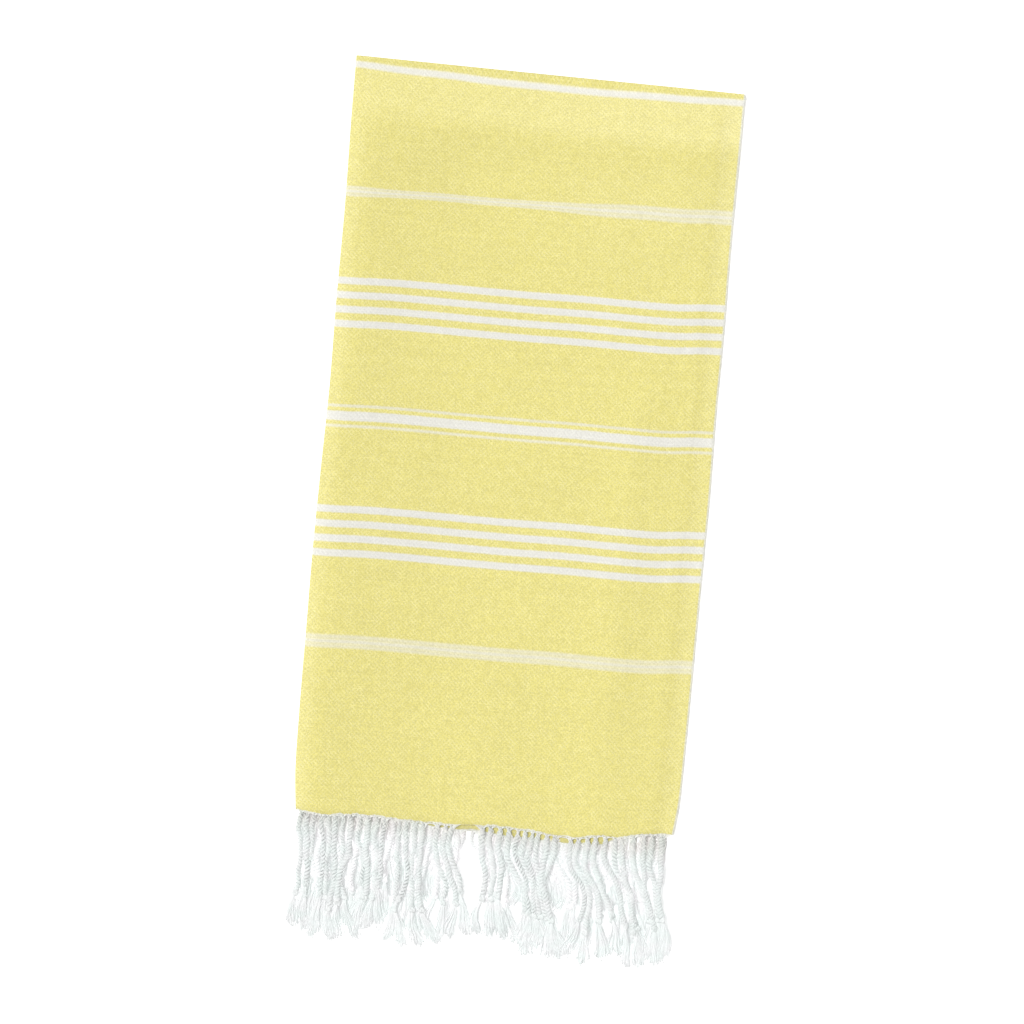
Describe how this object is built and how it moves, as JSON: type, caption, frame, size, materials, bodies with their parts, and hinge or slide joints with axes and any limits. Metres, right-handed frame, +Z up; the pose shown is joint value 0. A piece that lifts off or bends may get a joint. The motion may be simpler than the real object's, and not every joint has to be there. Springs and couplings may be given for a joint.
{
  "type": "hammam towel",
  "caption": "Flat-woven striped cotton hammam towel, folded in half each way and lying flat, with a knotted twisted fringe at its end.",
  "frame": {"origin": "bottom centre of the whole folded towel's box, on the surface it lies on", "axes": "+Z up out of the surface, +Y along the towel from the fringe to the cross fold, +X across from the long fold to the selvedges"},
  "size_m": [0.4724, 1.0654, 0.0146],
  "materials": {
    "cloth": "flat-woven cotton, pale yellow with white crosswise stripes",
    "fringe_upper": "twisted white cotton",
    "fringe_lower": "twisted white cotton"
  },
  "bodies": {
    "root": {"towel_cloth": "cloth", "fringe_front": "fringe_upper", "fringe_back": "fringe_lower"}
  },
  "joints": []
}
